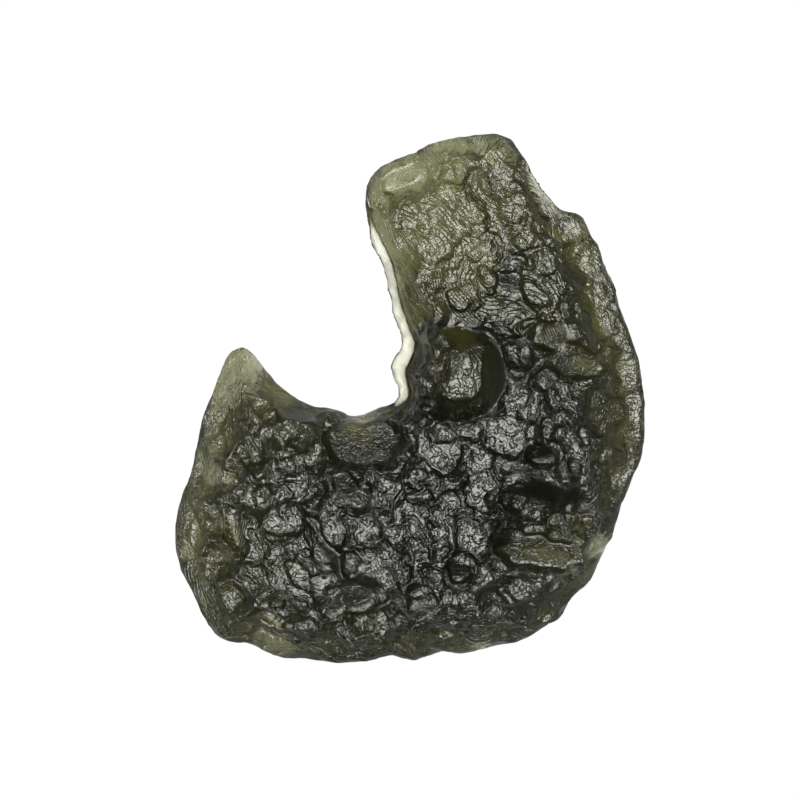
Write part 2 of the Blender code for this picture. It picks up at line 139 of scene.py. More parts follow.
# %% [markdown]
# ## The room
#
# Level bits of the skin mirror the light overhead and turn grey, and steep flanks mirror the
# table. Everything between them mirrors the room, so the room is dim, which lets the green of
# the glass show. The camera alone sees the room as white.

# %% A dim room, white to the camera
ROOM_BRIGHTNESS = 0.05
BACKDROP_BRIGHTNESS = 1.0

room = bpy.data.worlds.new("room")
room.use_nodes = True
scene.world = room
nodes, links = room.node_tree.nodes, room.node_tree.links
dim = nodes["Background"]
dim.inputs["Color"].default_value = (1, 1, 1, 1)
dim.inputs["Strength"].default_value = ROOM_BRIGHTNESS
bright = nodes.new("ShaderNodeBackground")
bright.inputs["Strength"].default_value = BACKDROP_BRIGHTNESS
rays = nodes.new("ShaderNodeLightPath")
backdrop = nodes.new("ShaderNodeMixShader")
links.new(rays.outputs["Is Camera Ray"], backdrop.inputs[0])
links.new(dim.outputs[0], backdrop.inputs[1])
links.new(bright.outputs[0], backdrop.inputs[2])
links.new(backdrop.outputs[0], nodes["World Output"].inputs["Surface"])
print("room", ROOM_BRIGHTNESS, "bright")

# %% [markdown]
# ## The light
#
# One soft square light hangs over the stone, about as wide as it is high, so that every level
# bit of skin has some of it to mirror. Its rays go in and out of the glass several times, which
# takes a few more bounces than an opaque thing would.

# %% The light overhead
LIGHT_HEIGHT = 0.75
LIGHT_SIDE = 0.74
LIGHT_POWER = 22.5
LIGHT_COLOR = (1.0, 0.99, 0.91)

softbox_light = bpy.data.lights.new("softbox", "AREA")
softbox_light.shape = "SQUARE"
softbox_light.size = LIGHT_SIDE
softbox_light.energy = LIGHT_POWER
softbox_light.color = LIGHT_COLOR
softbox = bpy.data.objects.new("softbox", softbox_light)
softbox.location = (0, 0, LIGHT_HEIGHT)
scene.collection.objects.link(softbox)

scene.view_settings.view_transform = "Standard"
scene.cycles.max_bounces = 8
scene.cycles.transmission_bounces = 8
scene.cycles.glossy_bounces = 4
scene.cycles.diffuse_bounces = 1
print("light", LIGHT_POWER, "W")

# %% [markdown]
# ## Reading and moving points
#
# The stone has some 300,000 points, too many to visit one by one in Python. So each step reads
# all of them into an array, works on the array, and writes it back.

# %% Helpers for whole meshes
def applied(obj):
    """The object's mesh with its modifiers applied."""
    bpy.context.view_layer.update()
    ready = obj.evaluated_get(bpy.context.evaluated_depsgraph_get())
    return bpy.data.meshes.new_from_object(ready)


def points_of(mesh):
    points = np.empty(len(mesh.vertices) * 3)
    mesh.vertices.foreach_get("co", points)
    return points.reshape(-1, 3)


def normals_of(mesh):
    normals = np.empty(len(mesh.vertices) * 3)
    mesh.vertices.foreach_get("normal", normals)
    return normals.reshape(-1, 3)


def set_points(mesh, points):
    mesh.vertices.foreach_set("co", points.astype(np.float32).ravel())
    mesh.update()


def skin_of(mesh, points):
    """The mesh as something that rays can be cast at."""
    return BVHTree.FromPolygons(points.tolist(), [face.vertices[:] for face in mesh.polygons])


print("helpers ready")

# %% [markdown]
# ## A finer copy of the stone
#
# The solid has some 9,000 flat faces. A fresh copy is merged, because the faces arrive loose,
# and then remeshed with small even faces. A few passes of smoothing round off the solid's flat
# faces before anything finer is carved. Smoothing would also draw thin edges in, so no point
# may move further than a few hundredths of a millimetre.

# %% Copy, merge and remesh
VOXEL = 0.09 * MM
MOST_ROUNDING = 0.04 * MM
TINY = 0.0001 * MM

form = bmesh.new()
form.from_mesh(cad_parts["moldavite"].data)
bmesh.ops.remove_doubles(form, verts=form.verts, dist=0.0005 * MM)
stone_mesh = bpy.data.meshes.new("stone")
form.to_mesh(stone_mesh)
form.free()
stone = bpy.data.objects.new("moldavite_stone", stone_mesh)
scene.collection.objects.link(stone)


def even_out(obj, rounding_passes):
    """Gives the object small even faces, and rounds them a little."""
    remesh = obj.modifiers.new("fine_faces", "REMESH")
    remesh.mode = "VOXEL"
    remesh.voxel_size = VOXEL
    obj.data = applied(obj)
    obj.modifiers.clear()
    sharp_points = points_of(obj.data)
    rounding = obj.modifiers.new("rounding", "SMOOTH")
    rounding.factor = 0.5
    rounding.iterations = rounding_passes
    obj.data = applied(obj)
    obj.modifiers.clear()
    moved = points_of(obj.data) - sharp_points
    distance = np.linalg.norm(moved, axis=1)
    kept = np.minimum(1, MOST_ROUNDING / np.maximum(distance, TINY))
    set_points(obj.data, sharp_points + moved * kept[:, None])


even_out(stone, rounding_passes=20)
print("fine copy:", len(stone.data.vertices), "points")

# %% [markdown]
# ## Ovals with ragged rims
#
# The chips, the places of painted shade and the hollows are placed as ovals in the photograph's
# pixels. On the stone they aren't ovals, so every point is pushed about by smooth noise before it
# is measured, and the rims come out ragged. Left alone, Blender seeds that noise from the clock.
# It gets a seed here, so that each run gives the same stone.

# %% Measure places in ovals
NOISE_SEED = 3
RAGGED_SIZE = 1.2 * MM
RAGGED_REACH = 0.5 * MM

noise.seed_set(NOISE_SEED)


def level_way(turn):
    """The level direction that is turned by so many degrees from the x axis."""
    return np.array((math.cos(math.radians(turn)), math.sin(math.radians(turn)), 0.0))


def wandering(points, size, reach):
    """A smooth random push for each point."""
    return reach * np.array([noise.noise_vector(Vector(point) / size) for point in points])


def ragged(places):
    """The places on the table, each moved a little, so that ovals get ragged rims."""
    flat = np.column_stack((places, np.zeros(len(places))))
    return places + wandering(flat, RAGGED_SIZE, RAGGED_REACH)[:, :2]


def oval(places, x, y, half_length, half_width, turn):
    """How far out each place lies in an oval of the photograph: 0 at its middle, 1 at its rim."""
    away = places - np.array(from_pixel(x, y))
    c, s = math.cos(math.radians(turn)), math.sin(math.radians(turn))
    along = (away[:, 0] * c + away[:, 1] * s) / (half_length * PIXEL)
    across = (away[:, 1] * c - away[:, 0] * s) / (half_width * PIXEL)
    return np.hypot(along, across)


print("noise seeded with", NOISE_SEED)

# %% [markdown]
# ## The clear lip
#
# Along the arm's inner side the glass ends in a thin, level lip, which is nearly white as it
# swallows so little light. The lip is given by its rim, a line of pixels with the lip's width
# at each. From there the glass may thicken slowly over that width, and then steeply in a step.

# %% How thick the lip may be
CLEAR_LIP = [
    # x, y, width
    (363, 215, 8), (367, 240, 15), (380, 268, 15), (388, 300, 14), (393, 325, 16), (399, 346, 18),
    (391, 358, 20), (384, 368, 23), (389, 380, 20), (395, 392, 17),
]
LIP_EDGE = 0.14 * MM
LIP_THICKNESS = 0.35 * MM
LIP_STEP = 0.20 * MM  # how wide the step is
LIP_STEP_RISE = 7 * MM  # how much thickness it adds


def segment_distance(places, start, end):
    """How far each place lies from a line between two ends, and how far along it, 0 to 1."""
    line = end - start
    along = np.clip((places - start) @ line / (line @ line), 0, 1)
    return np.linalg.norm(places - start - along[:, None] * line, axis=1), along


def lip_thickness(places):
    """The thickness that the lip allows at each place: endless away from it."""
    allowed = np.full(len(places), math.inf)
    for (x0, y0, width0), (x1, y1, width1) in zip(CLEAR_LIP, CLEAR_LIP[1:]):
        start, end = np.array(from_pixel(x0, y0)), np.array(from_pixel(x1, y1))
        gap, along = segment_distance(places, start, end)
        width = (width0 + (width1 - width0) * along) * PIXEL
        lip = LIP_EDGE + (LIP_THICKNESS - LIP_EDGE) * np.clip(gap / width, 0, 1)
        step = np.clip((gap - width) / LIP_STEP, 0, None)
        allowed = np.minimum(allowed, np.where(step < 1, lip + step * LIP_STEP_RISE, math.inf))
    return allowed


print("the lip has", len(CLEAR_LIP), "rim points")

# %% [markdown]
# ## Thin places
#
# Elsewhere there are hollows in the underside that nobody sees from above, but where the glass
# over them is thin it glows olive or yellow.

# %% How much glass the thin places leave
THIN_PLACES = [
    # x, y, half length, half width, turn, share of the glass left
    (450, 245, 104, 60, -65, 0.61),
    (455, 172, 52, 26, 20, 0.70),
    (243, 385, 34, 18, 75, 0.48),
    (225, 477, 18, 15, 50, 0.30),
    (236, 536, 46, 12, -65, 0.34),
    (274, 625, 26, 11, -35, 0.34),
    (419, 608, 12, 10, 0, 0.30),
    (588, 545, 20, 14, 20, 0.42),
    (543, 545, 46, 19, -12, 0.55),
    (481, 641, 14, 9, 0, 0.45),
    (364, 441, 40, 28, 0, 0.50),
    (262, 430, 18, 12, 0, 0.60),
    (575, 358, 26, 15, -10, 0.62),
    (538, 190, 42, 12, -60, 0.42),
    (280, 560, 26, 50, 30, 0.75),
    (330, 545, 50, 12, -58, 0.75),
]


def thin_share(places):
    """The share of the glass that is left at each place."""
    left = np.ones(len(places))
    for x, y, half_length, half_width, turn, share in THIN_PLACES:
        inside = np.clip(1 - oval(places, x, y, half_length, half_width, turn) ** 2, 0, 1)
        left = np.minimum(left, 1 - (1 - share) * inside * (2 - inside))
    return left


print(len(THIN_PLACES), "thin places")

# %% [markdown]
# ## Chips
#
# In a few places a blow has left a flat, slanting facet. It mirrors the dim room, so it stays
# olive between the grey hollows. Each facet is a plane that passes a little under the skin, or
# a little over it, at the middle of its oval.

# %% Strike the chips off
CHIPS = [
    # x, y, half length, half width, turn, slope, the way it falls, how much deeper (mm)
    (405, 177, 27, 13, 27, 0.46, -63, 0.30),
    (364, 444, 42, 27, -5, 0.42, 100, -0.10),
    (350, 492, 28, 16, -50, 0.42, -70, 0.05),
    (325, 545, 46, 9, -58, 0.46, 210, 0.05),
    (345, 599, 32, 18, 15, 0.42, -60, -0.20),
    (578, 360, 28, 15, -20, 0.44, -40, -0.10),
    (552, 337, 20, 14, 10, 0.46, 200, -0.10),
    (510, 283, 22, 11, -40, 0.44, -120, 0.05),
    (543, 550, 50, 19, -12, 0.42, -95, -0.25),
    (603, 412, 22, 24, 0, 0.45, -20, -0.10),
    (543, 456, 16, 9, 0, 0.75, -90, 0.15),
    (461, 567, 12, 12, 0, 0.65, -90, 0.15),
    (420, 606, 13, 13, 0, 0.55, 120, 0.10),
]
CHIP_RIM = 3  # the larger, the narrower the rim where a chip runs into the skin


def chipped(places, tops):
    """The heights of the top face after the chips have been struck off."""
    moved = ragged(places)
    for x, y, half_length, half_width, turn, slope, falls, drop in CHIPS:
        out = oval(moved, x, y, half_length, half_width, turn)
        share = np.clip(CHIP_RIM * (1 - out ** 2), 0, 1)
        middle = np.array(from_pixel(x, y))
        height = tops[np.hypot(*(places - middle).T).argmin()] - drop * MM
        plane = height - slope * ((places - middle) @ level_way(falls)[:2])
        tops = tops + share * (plane - tops)
    return tops


print(len(CHIPS), "chips")

# %% [markdown]
# ## Squeezing the stone
#
# The lip, the thin places and the chips are all made by squeezing the stone upright, column by
# column. A column runs from the lowest to the highest skin over a place, which two rays find.
# Every point in it keeps its share of the way from top to bottom. Chips lower the top, thin
# places raise the bottom, and the lip draws both towards the middle.

# %% Squeeze it
LEAST_GLASS = 0.01 * MM
CHIP_LEAVES = 0.8  # of the glass, at least


def column_heights(mesh, points):
    """The heights of the lowest and the highest skin over each point's place on the table."""
    skin = skin_of(mesh, points)
    below, above = cad_box[0][2] - MM, cad_box[1][2] + MM
    up, down = Vector((0, 0, 1)), Vector((0, 0, -1))
    bottoms, tops = [], []
    for x, y, z in points:
        under = skin.ray_cast(Vector((x, y, below)), up)[0]
        over = skin.ray_cast(Vector((x, y, above)), down)[0]
        bottoms.append(under.z if under else z)
        tops.append(over.z if over else z)
    return np.array(bottoms), np.array(tops)


def squeeze(mesh):
    points = points_of(mesh)
    places = points[:, :2]
    bottoms, old_tops = column_heights(mesh, points)
    from_top = (old_tops - points[:, 2]) / np.maximum(old_tops - bottoms, LEAST_GLASS)
    least_tops = bottoms + CHIP_LEAVES * (old_tops - bottoms)
    tops = np.maximum(chipped(places, old_tops), least_tops)
    thickness = np.maximum(tops - bottoms, LEAST_GLASS)
    points[:, 2] = tops - from_top * thickness * thin_share(places)
    middles = (tops + bottoms) / 2
    lip = np.minimum(1, lip_thickness(places) / thickness)
    in_lip = lip < 1
    points[in_lip, 2] = (middles + (points[:, 2] - middles) * lip)[in_lip]
    set_points(mesh, points)


squeeze(stone.data)
even_out(stone, rounding_passes=3)
print("squeezed:", len(stone.data.vertices), "points")

# %% [markdown]
# ## How deep a hollow may go
#
# A see-through stone must not be carved right through. So each point of the skin gets a
# greatest depth, from the glass straight behind it and from the glass below or above it. The
# thin edges get the least.

# %% Measure the glass behind each point
JUST_INSIDE = 0.02 * MM
DEEPEST_SHARE = 0.15  # of the glass straight behind a point
THIN_GLASS = 1.5 * MM  # measured upright; hollows stay shallow in it, to spare the edges
THIN_SHARE, THICK_SHARE = 0.08, 0.18  # of the glass up to that thickness, and of the rest


def glass_beyond(skin, points, normals, directions):
    """How much glass lies beyond each point of the skin in its direction."""
    starts = points - normals * JUST_INSIDE
    hits = [skin.ray_cast(Vector(start), Vector(way)) for start, way in zip(starts, directions)]
    return np.array([hit[3] if hit[3] is not None else 0.0 for hit in hits])


points, normals = points_of(stone.data), normals_of(stone.data)
skin = skin_of(stone.data, points)
upright_ways = np.where(normals[:, 2:] > 0, -1.0, 1.0) * np.array((0, 0, 1.0))
upright = glass_beyond(skin, points, normals, upright_ways)
behind = glass_beyond(skin, points, normals, -normals)
past_thin = np.maximum(upright - THIN_GLASS, 0)
deepest = np.minimum(DEEPEST_SHARE * behind,
                     THIN_SHARE * upright + (THICK_SHARE - THIN_SHARE) * past_thin)
print("thickest", round(upright.max() / MM, 1), "mm")

# %% [markdown]
# ## Carving hollows
#
# Acid in the soil eats round hollows into glass. Where two hollows meet, the deeper one wins
# and a sharp ridge is left between them. So each hollow is recorded as a depth at the points
# it reaches, each point keeps the largest depth that any hollow gives it, and all points are
# pushed in at once. What the hollows leave to chance is drawn from one seed.

# %% The carver
SEED = 41
LEAST_RISE = 0.5  # of an outward direction; skin steeper than this counts as this steep
FACES_UP = 0.2

chance = random.Random(SEED)


class Carver:
    """Collects the hollows of one size and cuts them all at once."""

    def __init__(self, mesh, wander_size, wander_reach):
        self.mesh = mesh
        self.points = points_of(mesh)
        self.normals = normals_of(mesh)
        self.places = self.points + wandering(self.points, wander_size, wander_reach)
        self.depth = np.zeros(len(self.points))
        self.free = np.ones(len(self.points), bool)
        self.tree = kdtree.KDTree(len(self.points))
        for index, place in enumerate(self.places):
            self.tree.insert(place, index)
        self.tree.balance()

    def near(self, index, reach):
        """The points within reach of the one with this index."""
        return np.array([found[1] for found in self.tree.find_range(self.places[index], reach)])

    def hollow(self, index, half_length, half_width, along, depth, spacing, lean=None,
               flatness=2.0):
        """One bowl whose middle keeps others out within spacing times its size. Its bottom is
        level, or leans by the slopes in lean."""
        middle, out = self.places[index], self.normals[index]
        along = along - out * (along @ out)
        along /= max(np.linalg.norm(along), 1e-6)
        across = np.cross(out, along)
        reach = max(half_length, half_width)
        near = self.near(index, reach)
        away = self.places[near] - middle
        share = ((away @ along / half_length) ** 2 + (away @ across / half_width) ** 2
                 + (away @ out / reach) ** 2)
        away = self.points[near] - self.points[index]
        if lean is None:
            slant = away[:, 2] / max(out[2], LEAST_RISE)
        else:
            slant = away @ lean
        cut = np.maximum(depth + slant, 0) * np.clip(1 - share ** flatness, 0, None)
        self.depth[near] = np.maximum(self.depth[near], cut)
        self.free[near[share < spacing ** 2]] = False

    def top_point(self, x, y):
        """The index of the top face's point over x, y."""
        gaps = np.hypot(self.points[:, 0] - x, self.points[:, 1] - y)
        gaps[self.normals[:, 2] < FACES_UP] = math.inf
        return int(gaps.argmin())

    def shuffled(self):
        order = list(range(len(self.points)))
        chance.shuffle(order)
        return order

    def cut(self, kept):
        """Pushes the points in by the share of the depths that is kept."""
        pushes = np.minimum(self.depth, deepest) * kept
        set_points(self.mesh, self.points - self.normals * pushes[:, None])


print("carver ready, seed", SEED)

# %% [markdown]
# ## Hollows that the photograph shows
#
# The grey patches in the photograph are the level bottoms of hollows, where the skin mirrors
# the overhead light. Each is placed by the pixel at its middle, with its half sizes in pixels,
# its turn and its depth in millimetres. The rows of small ones lie along the ribs that run down
# to the lower edge.

# %% Places of the hollows that show
SEEN_HOLLOWS = [
    # x, y, half length, half width, turn, depth
    (453, 374, 30, 30, 0, 0.10),
    (505, 434, 26, 27, 0, 0.26),
    (516, 409, 14, 17, 0, 0.22),
    (445, 446, 22, 26, 0, 0.26),
    (481, 460, 15, 17, 0, 0.24),
    (508, 461, 17, 16, 0, 0.24),
    (478, 429, 17, 9, 25, 0.20),
    (572, 464, 13, 15, 0, 0.24),
    (552, 434, 13, 15, 0, 0.24),
    (564, 477, 11, 8, -30, 0.16),
    (533, 473, 9, 8, 0, 0.16),
    (596, 452, 8, 11, -20, 0.16),
    (480, 493, 20, 18, 0, 0.26),
    (487, 508, 12, 10, 0, 0.18),
    (472, 535, 19, 21, 0, 0.26),
    (485, 573, 6, 13, 0, 0.16),
    (519, 588, 14, 12, 0, 0.24),
    (528, 567, 12, 5, 0, 0.28),
    (545, 569, 7, 6, 0, 0.14),
    (440, 506, 10, 8, 0, 0.2), (440, 518, 10, 8, 0, 0.2), (441, 531, 10, 8, 0, 0.2),
    (442, 544, 10, 8, 0, 0.2), (443, 556, 10, 8, 0, 0.2),
    (413, 513, 8, 8, 0, 0.16), (415, 526, 8, 8, 0, 0.16), (417, 539, 9, 8, 0, 0.18),
    (420, 552, 9, 8, 0, 0.18), (422, 565, 9, 9, 0, 0.18),
    (446, 592, 7, 7, 0, 0.15), (448, 603, 7, 7, 0, 0.15), (450, 614, 7, 7, 0, 0.15),
    (452, 625, 8, 7, 0, 0.15),
    (462, 593, 7, 7, 0, 0.15), (464, 603, 7, 7, 0, 0.15), (466, 613, 7, 7, 0, 0.15),
    (469, 623, 8, 7, 0, 0.15),
    (512, 501, 8, 7, 0, 0.15), (524, 507, 8, 7, 0, 0.15), (536, 514, 8, 7, 0, 0.15),
    (548, 521, 8, 7, 0, 0.15), (560, 528, 8, 7, 0, 0.15), (571, 534, 8, 7, 0, 0.15),
    (341, 628, 11, 13, 0, 0.22),
    (307, 627, 11, 12, 0, 0.2),
    (287, 627, 9, 12, 0, 0.2),
    (300, 575, 13, 16, 20, 0.28),
    (325, 583, 18, 14, 40, 0.28),
    (350, 562, 12, 11, 0, 0.22),
    (374, 574, 10, 8, 0, 0.18),
    (381, 554, 13, 7, 60, 0.2),
    (396, 528, 8, 10, 0, 0.18),
    (337, 528, 17, 10, 110, 0.24),
    (365, 528, 17, 11, 100, 0.26),
    (306, 539, 7, 7, 0, 0.14),
    (314, 553, 9, 8, 0, 0.18),
    (293, 562, 8, 9, 0, 0.16),
    (280, 521, 20, 18, 0, 0.3),
    (302, 490, 13, 11, 0, 0.24),
    (264, 479, 14, 9, 0, 0.22),
    (249, 453, 15, 12, 0, 0.26),
    (316, 456, 10, 12, -30, 0.2),
    (297, 457, 5, 15, 25, 0.18),
    (290, 446, 4, 14, 30, 0.16),
    (375, 497, 11, 11, 0, 0.2),
    (390, 489, 12, 10, 20, 0.2),
    (426, 405, 9, 8, 0, 0.2),
    (454, 471, 10, 9, 0, 0.18),
    (479, 484, 12, 7, 0, 0.16),
    (472, 325, 11, 6, -15, 0.2),
    (449, 320, 10, 9, 0, 0.2),
    (486, 313, 10, 8, 0, 0.2),
    (536, 327, 16, 12, 0, 0.26),
    (516, 355, 13, 11, 0, 0.24),
    (527, 354, 5, 13, 0, 0.16),
    (521, 377, 8, 10, 0, 0.2),
    (547, 377, 11, 10, 0, 0.22),
    (574, 383, 9, 8, 0, 0.2),
    (533, 396, 13, 8, -60, 0.2),
    (532, 294, 20, 10, -40, 0.24),
    (551, 321, 9, 8, 0, 0.18),
    (523, 244, 11, 8, 0, 0.2),
    (548, 269, 9, 8, 0, 0.2),
    (507, 230, 9, 7, 20, 0.16),
    (458, 298, 12, 10, 0, 0.2),
]
print(len(SEEN_HOLLOWS), "hollows that show")

# %% [markdown]
# ## Smooth places
#
# A few places have hardly any hollows: the chips, the walls of the big bowl, the groove, and
# the slope beside the bay.

# %% Where the skin is smooth
SMOOTH_PLACES = [
    # x, y, half length, half width, turn
    (452, 336, 40, 16, 0),
    (492, 375, 14, 36, 0),
    (440, 405, 30, 10, 10),
    (556, 497, 46, 15, -14),
    (296, 414, 24, 8, -14),
]


def smooth_share(points, normals):
    """1 in the middle of a smooth place of the top face, and 0 away from them all."""
    places = points[:, :2]
    moved = ragged(places)
    outs = [oval(places, *smooth) for smooth in SMOOTH_PLACES]
    outs += [oval(moved, *chip[:5]) for chip in CHIPS]
    return np.clip(3 * (1.1 - np.min(outs, axis=0)), 0, 1) * (normals[:, 2] > 0)


print(len(SMOOTH_PLACES), "smooth places besides the chips")

# %% [markdown]
# ## Painted shade
#
# Steep walls, the deep pits and the flanks look darker than the glass's depth alone makes them,
# because they turn the light aside. That shade is painted in, as a darker tint of the skin. Where
# the glass is thin and glows, the painted shade is left away.

# %% Where shade is painted on the skin
# painted shade: each oval darkens the skin's tint by its amount
PAINTED_SHADE_PLACES = [
    # x, y, half length, half width, turn, how dark
    (556, 495, 50, 15, -14, 0.9),
    (543, 456, 18, 10, 0, 1.0),
    (461, 567, 14, 14, 0, 0.8),
    (420, 600, 16, 18, 0, 0.5),
    (455, 338, 42, 18, 0, 0.1),
    (494, 375, 16, 38, 0, 0.15),
    (440, 408, 32, 11, 10, 0.2),
    (605, 300, 80, 15, -67, 0.3),
    (627, 425, 60, 15, -95, 0.2),
    (592, 552, 55, 13, -120, 0.2),
    (508, 282, 30, 16, -40, 0.6),
    (575, 292, 30, 18, -40, 0.6),
    (545, 404, 30, 14, -10, 0.7),
    (580, 425, 22, 22, 0, 0.5),
    (404, 425, 22, 24, 0, 0.4),
    (400, 408, 30, 6, 20, 0.8),
    (345, 420, 30, 6, -12, 0.8),
    (415, 480, 24, 24, 0, 0.4),
    (268, 440, 28, 14, -30, 0.4),
    (240, 430, 12, 30, 10, 0.5),
    (335, 605, 34, 22, 15, 0.4),
    (405, 555, 14, 40, 0, 0.5),
    (430, 590, 14, 24, 10, 0.5),
    (502, 530, 18, 26, 0, 0.4),
    (530, 605, 28, 14, 20, 0.5),
    (300, 590, 20, 12, -40, 0.4),
    (212, 520, 12, 40, -10, 0.5),
]
# painted shade on the flanks, which turn the light aside
FLANK_PAINTED_SHADE = 0.5
ARM_LINE = from_pixel(0, 240)[1]  # the arm's flanks are spared above this line
ARM_FADE = 3 * MM
HORN_LINE = from_pixel(0, 385)[1]  # and so are the horn's, above this one


def painted_shade_share(points, normals):
    """How much painted shade darkens each point of the skin, 0 to 1."""
    share = np.zeros(len(points))
    moved = ragged(points[:, :2])
    for x, y, half_length, half_width, turn, amount in PAINTED_SHADE_PLACES:
        out = oval(moved, x, y, half_length, half_width, turn)
        share = np.maximum(share, amount * np.clip(2 * (1.2 - out), 0, 1))
    off_arm = np.clip((ARM_LINE - points[:, 1]) / ARM_FADE, 0, 1)
    right_half = np.clip(points[:, 0], 0, None) / MM
    off_horn = np.clip((HORN_LINE - points[:, 1]) / MM + right_half, 0, 1)
    flank = np.clip((0.92 - normals[:, 2]) / 0.4, 0, 1) * off_arm * off_horn
    thick = np.clip((thin_share(points[:, :2]) - 0.4) / 0.3, 0, 1)
    return np.maximum(share, FLANK_PAINTED_SHADE * flank) * thick * (normals[:, 2] > 0)


print(len(PAINTED_SHADE_PLACES), "dark places")

# %% [markdown]
# ## Filling the skin with hollows
#
# First come the hollows listed above, with level bottoms. The rest of the skin is filled with
# others at random, which lean every way, so few of them mirror the light. They are small and
# follow the glass's flow on the thin arm, wide on the body, and long on the flanks, where they
# run round the rim. In smooth places next to nothing is cut.

# %% Carve the hollows
WIDE_WANDER = (0.8 * MM, 0.28 * MM)  # size and reach of the pushes that bend the outlines
SEEN_SPACING, SEEN_FLATNESS = 0.9, 3.0
FLANK_RISE = 0.65  # skin steeper than this is flank
FLANK_SIZES = (0.3 * MM, 0.6 * MM)
FLANK_STRETCH = (1.8, 3.6)
FLANK_DEPTH_SHARE = 0.45
ARM_FOOT = 3.2 * MM  # the arm lies beyond this y, and the horn lies left of the next x
ARM_LEFT = -4 * MM
ARM_SIZES = (0.38 * MM, 0.7 * MM)
ARM_DEPTH_SHARE = 0.17
WIDE_SIZES = (0.75 * MM, 1.35 * MM)
WIDE_DEPTH_SHARE = 0.19
FLOW_TURN = -55
LEVELLED = 0.7  # the share of the skin's own lean that an arm hollow takes away
DARK_LEAN = 0.3  # hollows lean more in dark places
UNDERSIDE_DEPTH = 0.6  # the underside was etched less
SMOOTH_CUT = 0.9  # the share of a random hollow's depth that a smooth place takes away


def leaning(least, most):
    """A random slope, falling any way."""
    slope, turn = chance.uniform(least, most), chance.uniform(0, 360)
    return slope * level_way(turn)


def levelling(out):
    """The lean that makes a hollow's bottom nearly level where the skin itself leans."""
    return np.array((out[0], out[1], 0.0)) * LEVELLED / max(out[2], LEAST_RISE)


def flank_hollow(carver, index):
    radius = chance.uniform(*FLANK_SIZES)
    out = carver.normals[index]
    round_the_rim = np.array((-out[1], out[0], 0.0))
    carver.hollow(index, radius * chance.uniform(*FLANK_STRETCH), radius, round_the_rim,
                  radius * FLANK_DEPTH_SHARE, 0.75, leaning(0.1, 0.4), 3.0)


def arm_hollow(carver, index):
    radius = chance.uniform(*ARM_SIZES)
    carver.hollow(index, radius, radius * chance.uniform(0.45, 0.8),
                  level_way(FLOW_TURN + chance.gauss(0, 16)), radius * ARM_DEPTH_SHARE, 0.82,
                  leaning(0.0, 0.16) - levelling(carver.normals[index]), 4.0)


def wide_hollow(carver, index, darkness):
    radius = chance.uniform(*WIDE_SIZES)
    carver.hollow(index, radius, radius * chance.uniform(0.5, 0.85),
                  level_way(FLOW_TURN + chance.gauss(0, 30)), radius * WIDE_DEPTH_SHARE, 0.86,
                  leaning(0.05 + DARK_LEAN * darkness, 0.42 + DARK_LEAN * darkness), 3.0)


def carve_hollows(mesh):
    carver = Carver(mesh, *WIDE_WANDER)
    for x, y, half_length, half_width, turn, depth in SEEN_HOLLOWS:
        carver.hollow(carver.top_point(*from_pixel(x, y)), half_length * PIXEL,
                      half_width * PIXEL, level_way(turn), depth * MM, SEEN_SPACING,
                      flatness=SEEN_FLATNESS)
    unseen = carver.free.copy()
    smooth = smooth_share(carver.points, carver.normals)
    dark = painted_shade_share(carver.points, carver.normals)
    filled = 0
    for index in carver.shuffled():
        if not carver.free[index] or smooth[index] > 0.8:
            continue
        x, y, _ = carver.points[index]
        if abs(carver.normals[index, 2]) < FLANK_RISE:
            flank_hollow(carver, index)
        elif y > ARM_FOOT and x > ARM_LEFT:
            arm_hollow(carver, index)
        else:
            wide_hollow(carver, index, dark[index])
        filled += 1
    carver.depth *= 1 - SMOOTH_CUT * smooth * unseen
    carver.depth *= np.where(carver.normals[:, 2] < -0.1, UNDERSIDE_DEPTH, 1)
    carver.cut(kept=1.0)
    return filled


print(carve_hollows(stone.data), "hollows filled in")

# %% [markdown]
# ## Plates
#
# Between and inside the hollows the skin is broken up into plates less than half a millimetre
# wide, each a little higher or more tilted than the next. Plate middles are strewn evenly, and
# each point belongs to the nearest one.

# %% Break the skin into plates
PLATE_WANDER = (0.35 * MM, 0.10 * MM)
PLATE_SPACING = 0.42 * MM
PLATE_STEP = 0.010 * MM
PLATE_LEAN = 0.06
SMOOTH_PLATES = 0.6  # the share of the relief that a smooth place takes away


def break_into_plates(mesh):
    carver = Carver(mesh, *PLATE_WANDER)
    middles, leans, steps = [], [], []
    for index in carver.shuffled():
        if carver.free[index]:
            carver.free[carver.near(index, PLATE_SPACING)] = False
            middles.append(carver.places[index])
            leans.append(PLATE_LEAN * np.array([chance.gauss(0, 1) for _ in range(3)]))
            steps.append(chance.uniform(0, PLATE_STEP))
    tree = kdtree.KDTree(len(middles))
    for number, middle in enumerate(middles):
        tree.insert(middle, number)
    tree.balance()
    plate = np.array([tree.find(place)[1] for place in carver.places])
    away = carver.places - np.array(middles)[plate]
    carver.depth = np.array(steps)[plate] + (away * np.array(leans)[plate]).sum(axis=1)
    carver.cut(kept=1 - SMOOTH_PLATES * smooth_share(carver.points, carver.normals))
    return len(middles)


print(break_into_plates(stone.data), "plates")

# %% [markdown]
# ## Layers
#
# The melt had layers, gently tilted, and some dissolve faster than others. Where the skin cuts
# across them they stand out as terraces, like the contour lines of a map. On the steep flanks
# they run round the stone; on the top face they are far apart and faint. Steep terraces can
# fold the mesh over itself, so it is remeshed once more.

# %% Raise the layers
FLOW_NORMAL = (0.52, 0.38, 0.765)  # across the layers
LAYERS = ((0.95 * MM, 0.34 * MM), (0.40 * MM, 0.12 * MM))  # spacing and relief
LEVEL_SHARE = 0.07  # of that relief, what shows on a level face
FLOW_BEND = 0.9 * MM
FLOW_BEND_SIZE = 5.0 * MM
UNDERSIDE_SHARE = 0.5
THICK_ENOUGH = 2.0 * MM  # thinner glass shows its layers less
SMOOTH_LAYERS = 0.9  # the share of the relief that a smooth place takes away


